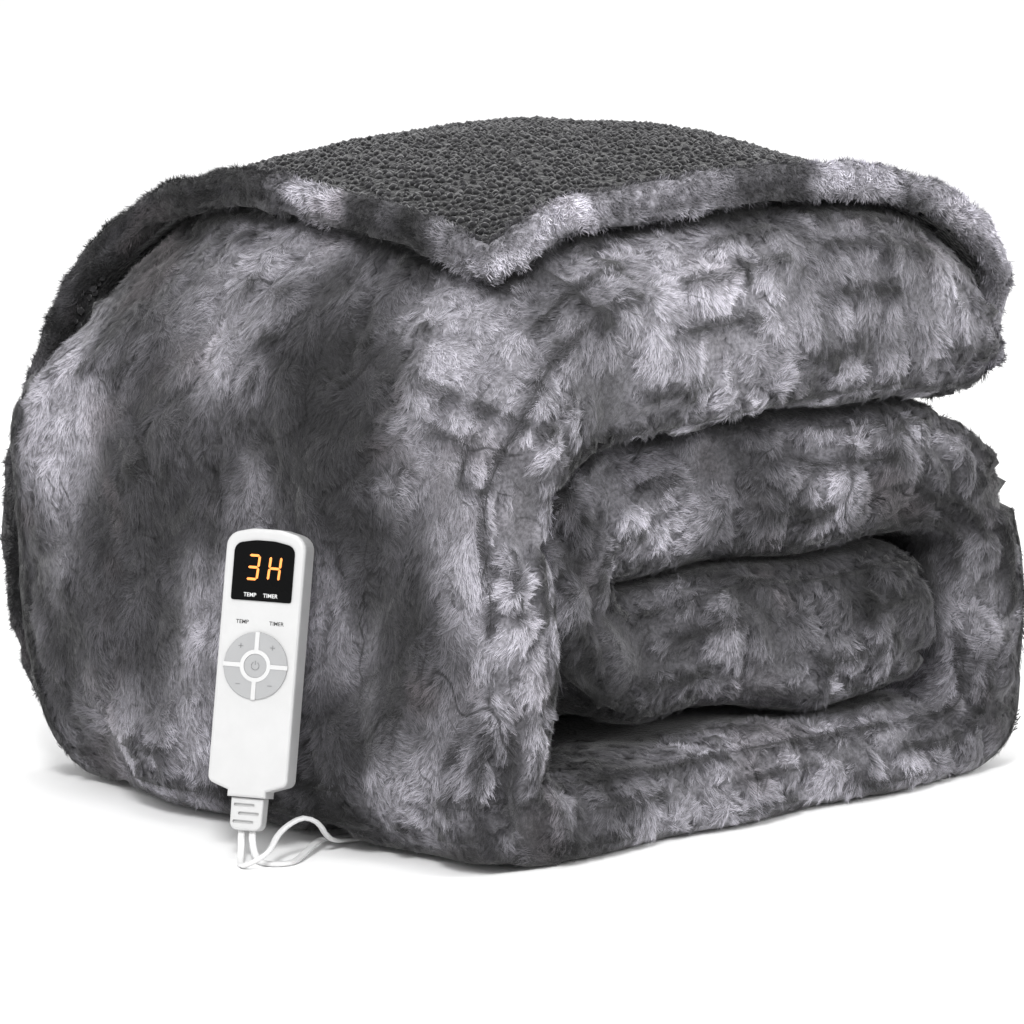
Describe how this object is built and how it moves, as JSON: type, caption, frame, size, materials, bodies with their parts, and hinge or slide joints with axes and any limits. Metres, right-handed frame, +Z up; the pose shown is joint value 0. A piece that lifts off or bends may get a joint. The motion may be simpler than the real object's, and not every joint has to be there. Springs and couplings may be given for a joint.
{
  "type": "electric heated blanket",
  "caption": "Thick fur and sherpa heated blanket folded into a bundle, with a flat handset leaning on it and its flat leads.",
  "frame": {"origin": "on the surface the bundle rests on, below the middle of the box round the bundle, its turned-over layer and the handset", "axes": "+X along the folded layers, away from the wall the handset leans on; +Y along the folds, away from the end where they show; +Z up"},
  "size_m": [0.5778, 0.4246, 0.3657],
  "materials": {
    "grey_fur": "long mottled faux fur",
    "charcoal_sherpa": "curled sherpa pile",
    "white_plastic": "satin",
    "light_grey_rubber": "matt",
    "black_window": "gloss",
    "white_lead": "satin",
    "nickel": "nickel plated"
  },
  "bodies": {
    "root": {"fur_bundle": "grey_fur", "sherpa_layer": "charcoal_sherpa", "handset_housing": "white_plastic", "display_window": "black_window", "timer_up_button": "light_grey_rubber", "temp_up_button": "light_grey_rubber", "temp_down_button": "light_grey_rubber", "timer_down_button": "light_grey_rubber", "power_button": "light_grey_rubber", "strain_relief": "white_plastic", "mains_lead": "white_lead", "mains_lead_coil": "white_lead", "mains_lead_tail": "white_lead", "coil_tie": "light_grey_rubber", "mains_plug": "white_plastic", "plug_pin_left": "nickel", "plug_pin_right": "nickel", "blanket_lead": "white_lead", "blanket_connector": "white_plastic"}
  },
  "joints": []
}
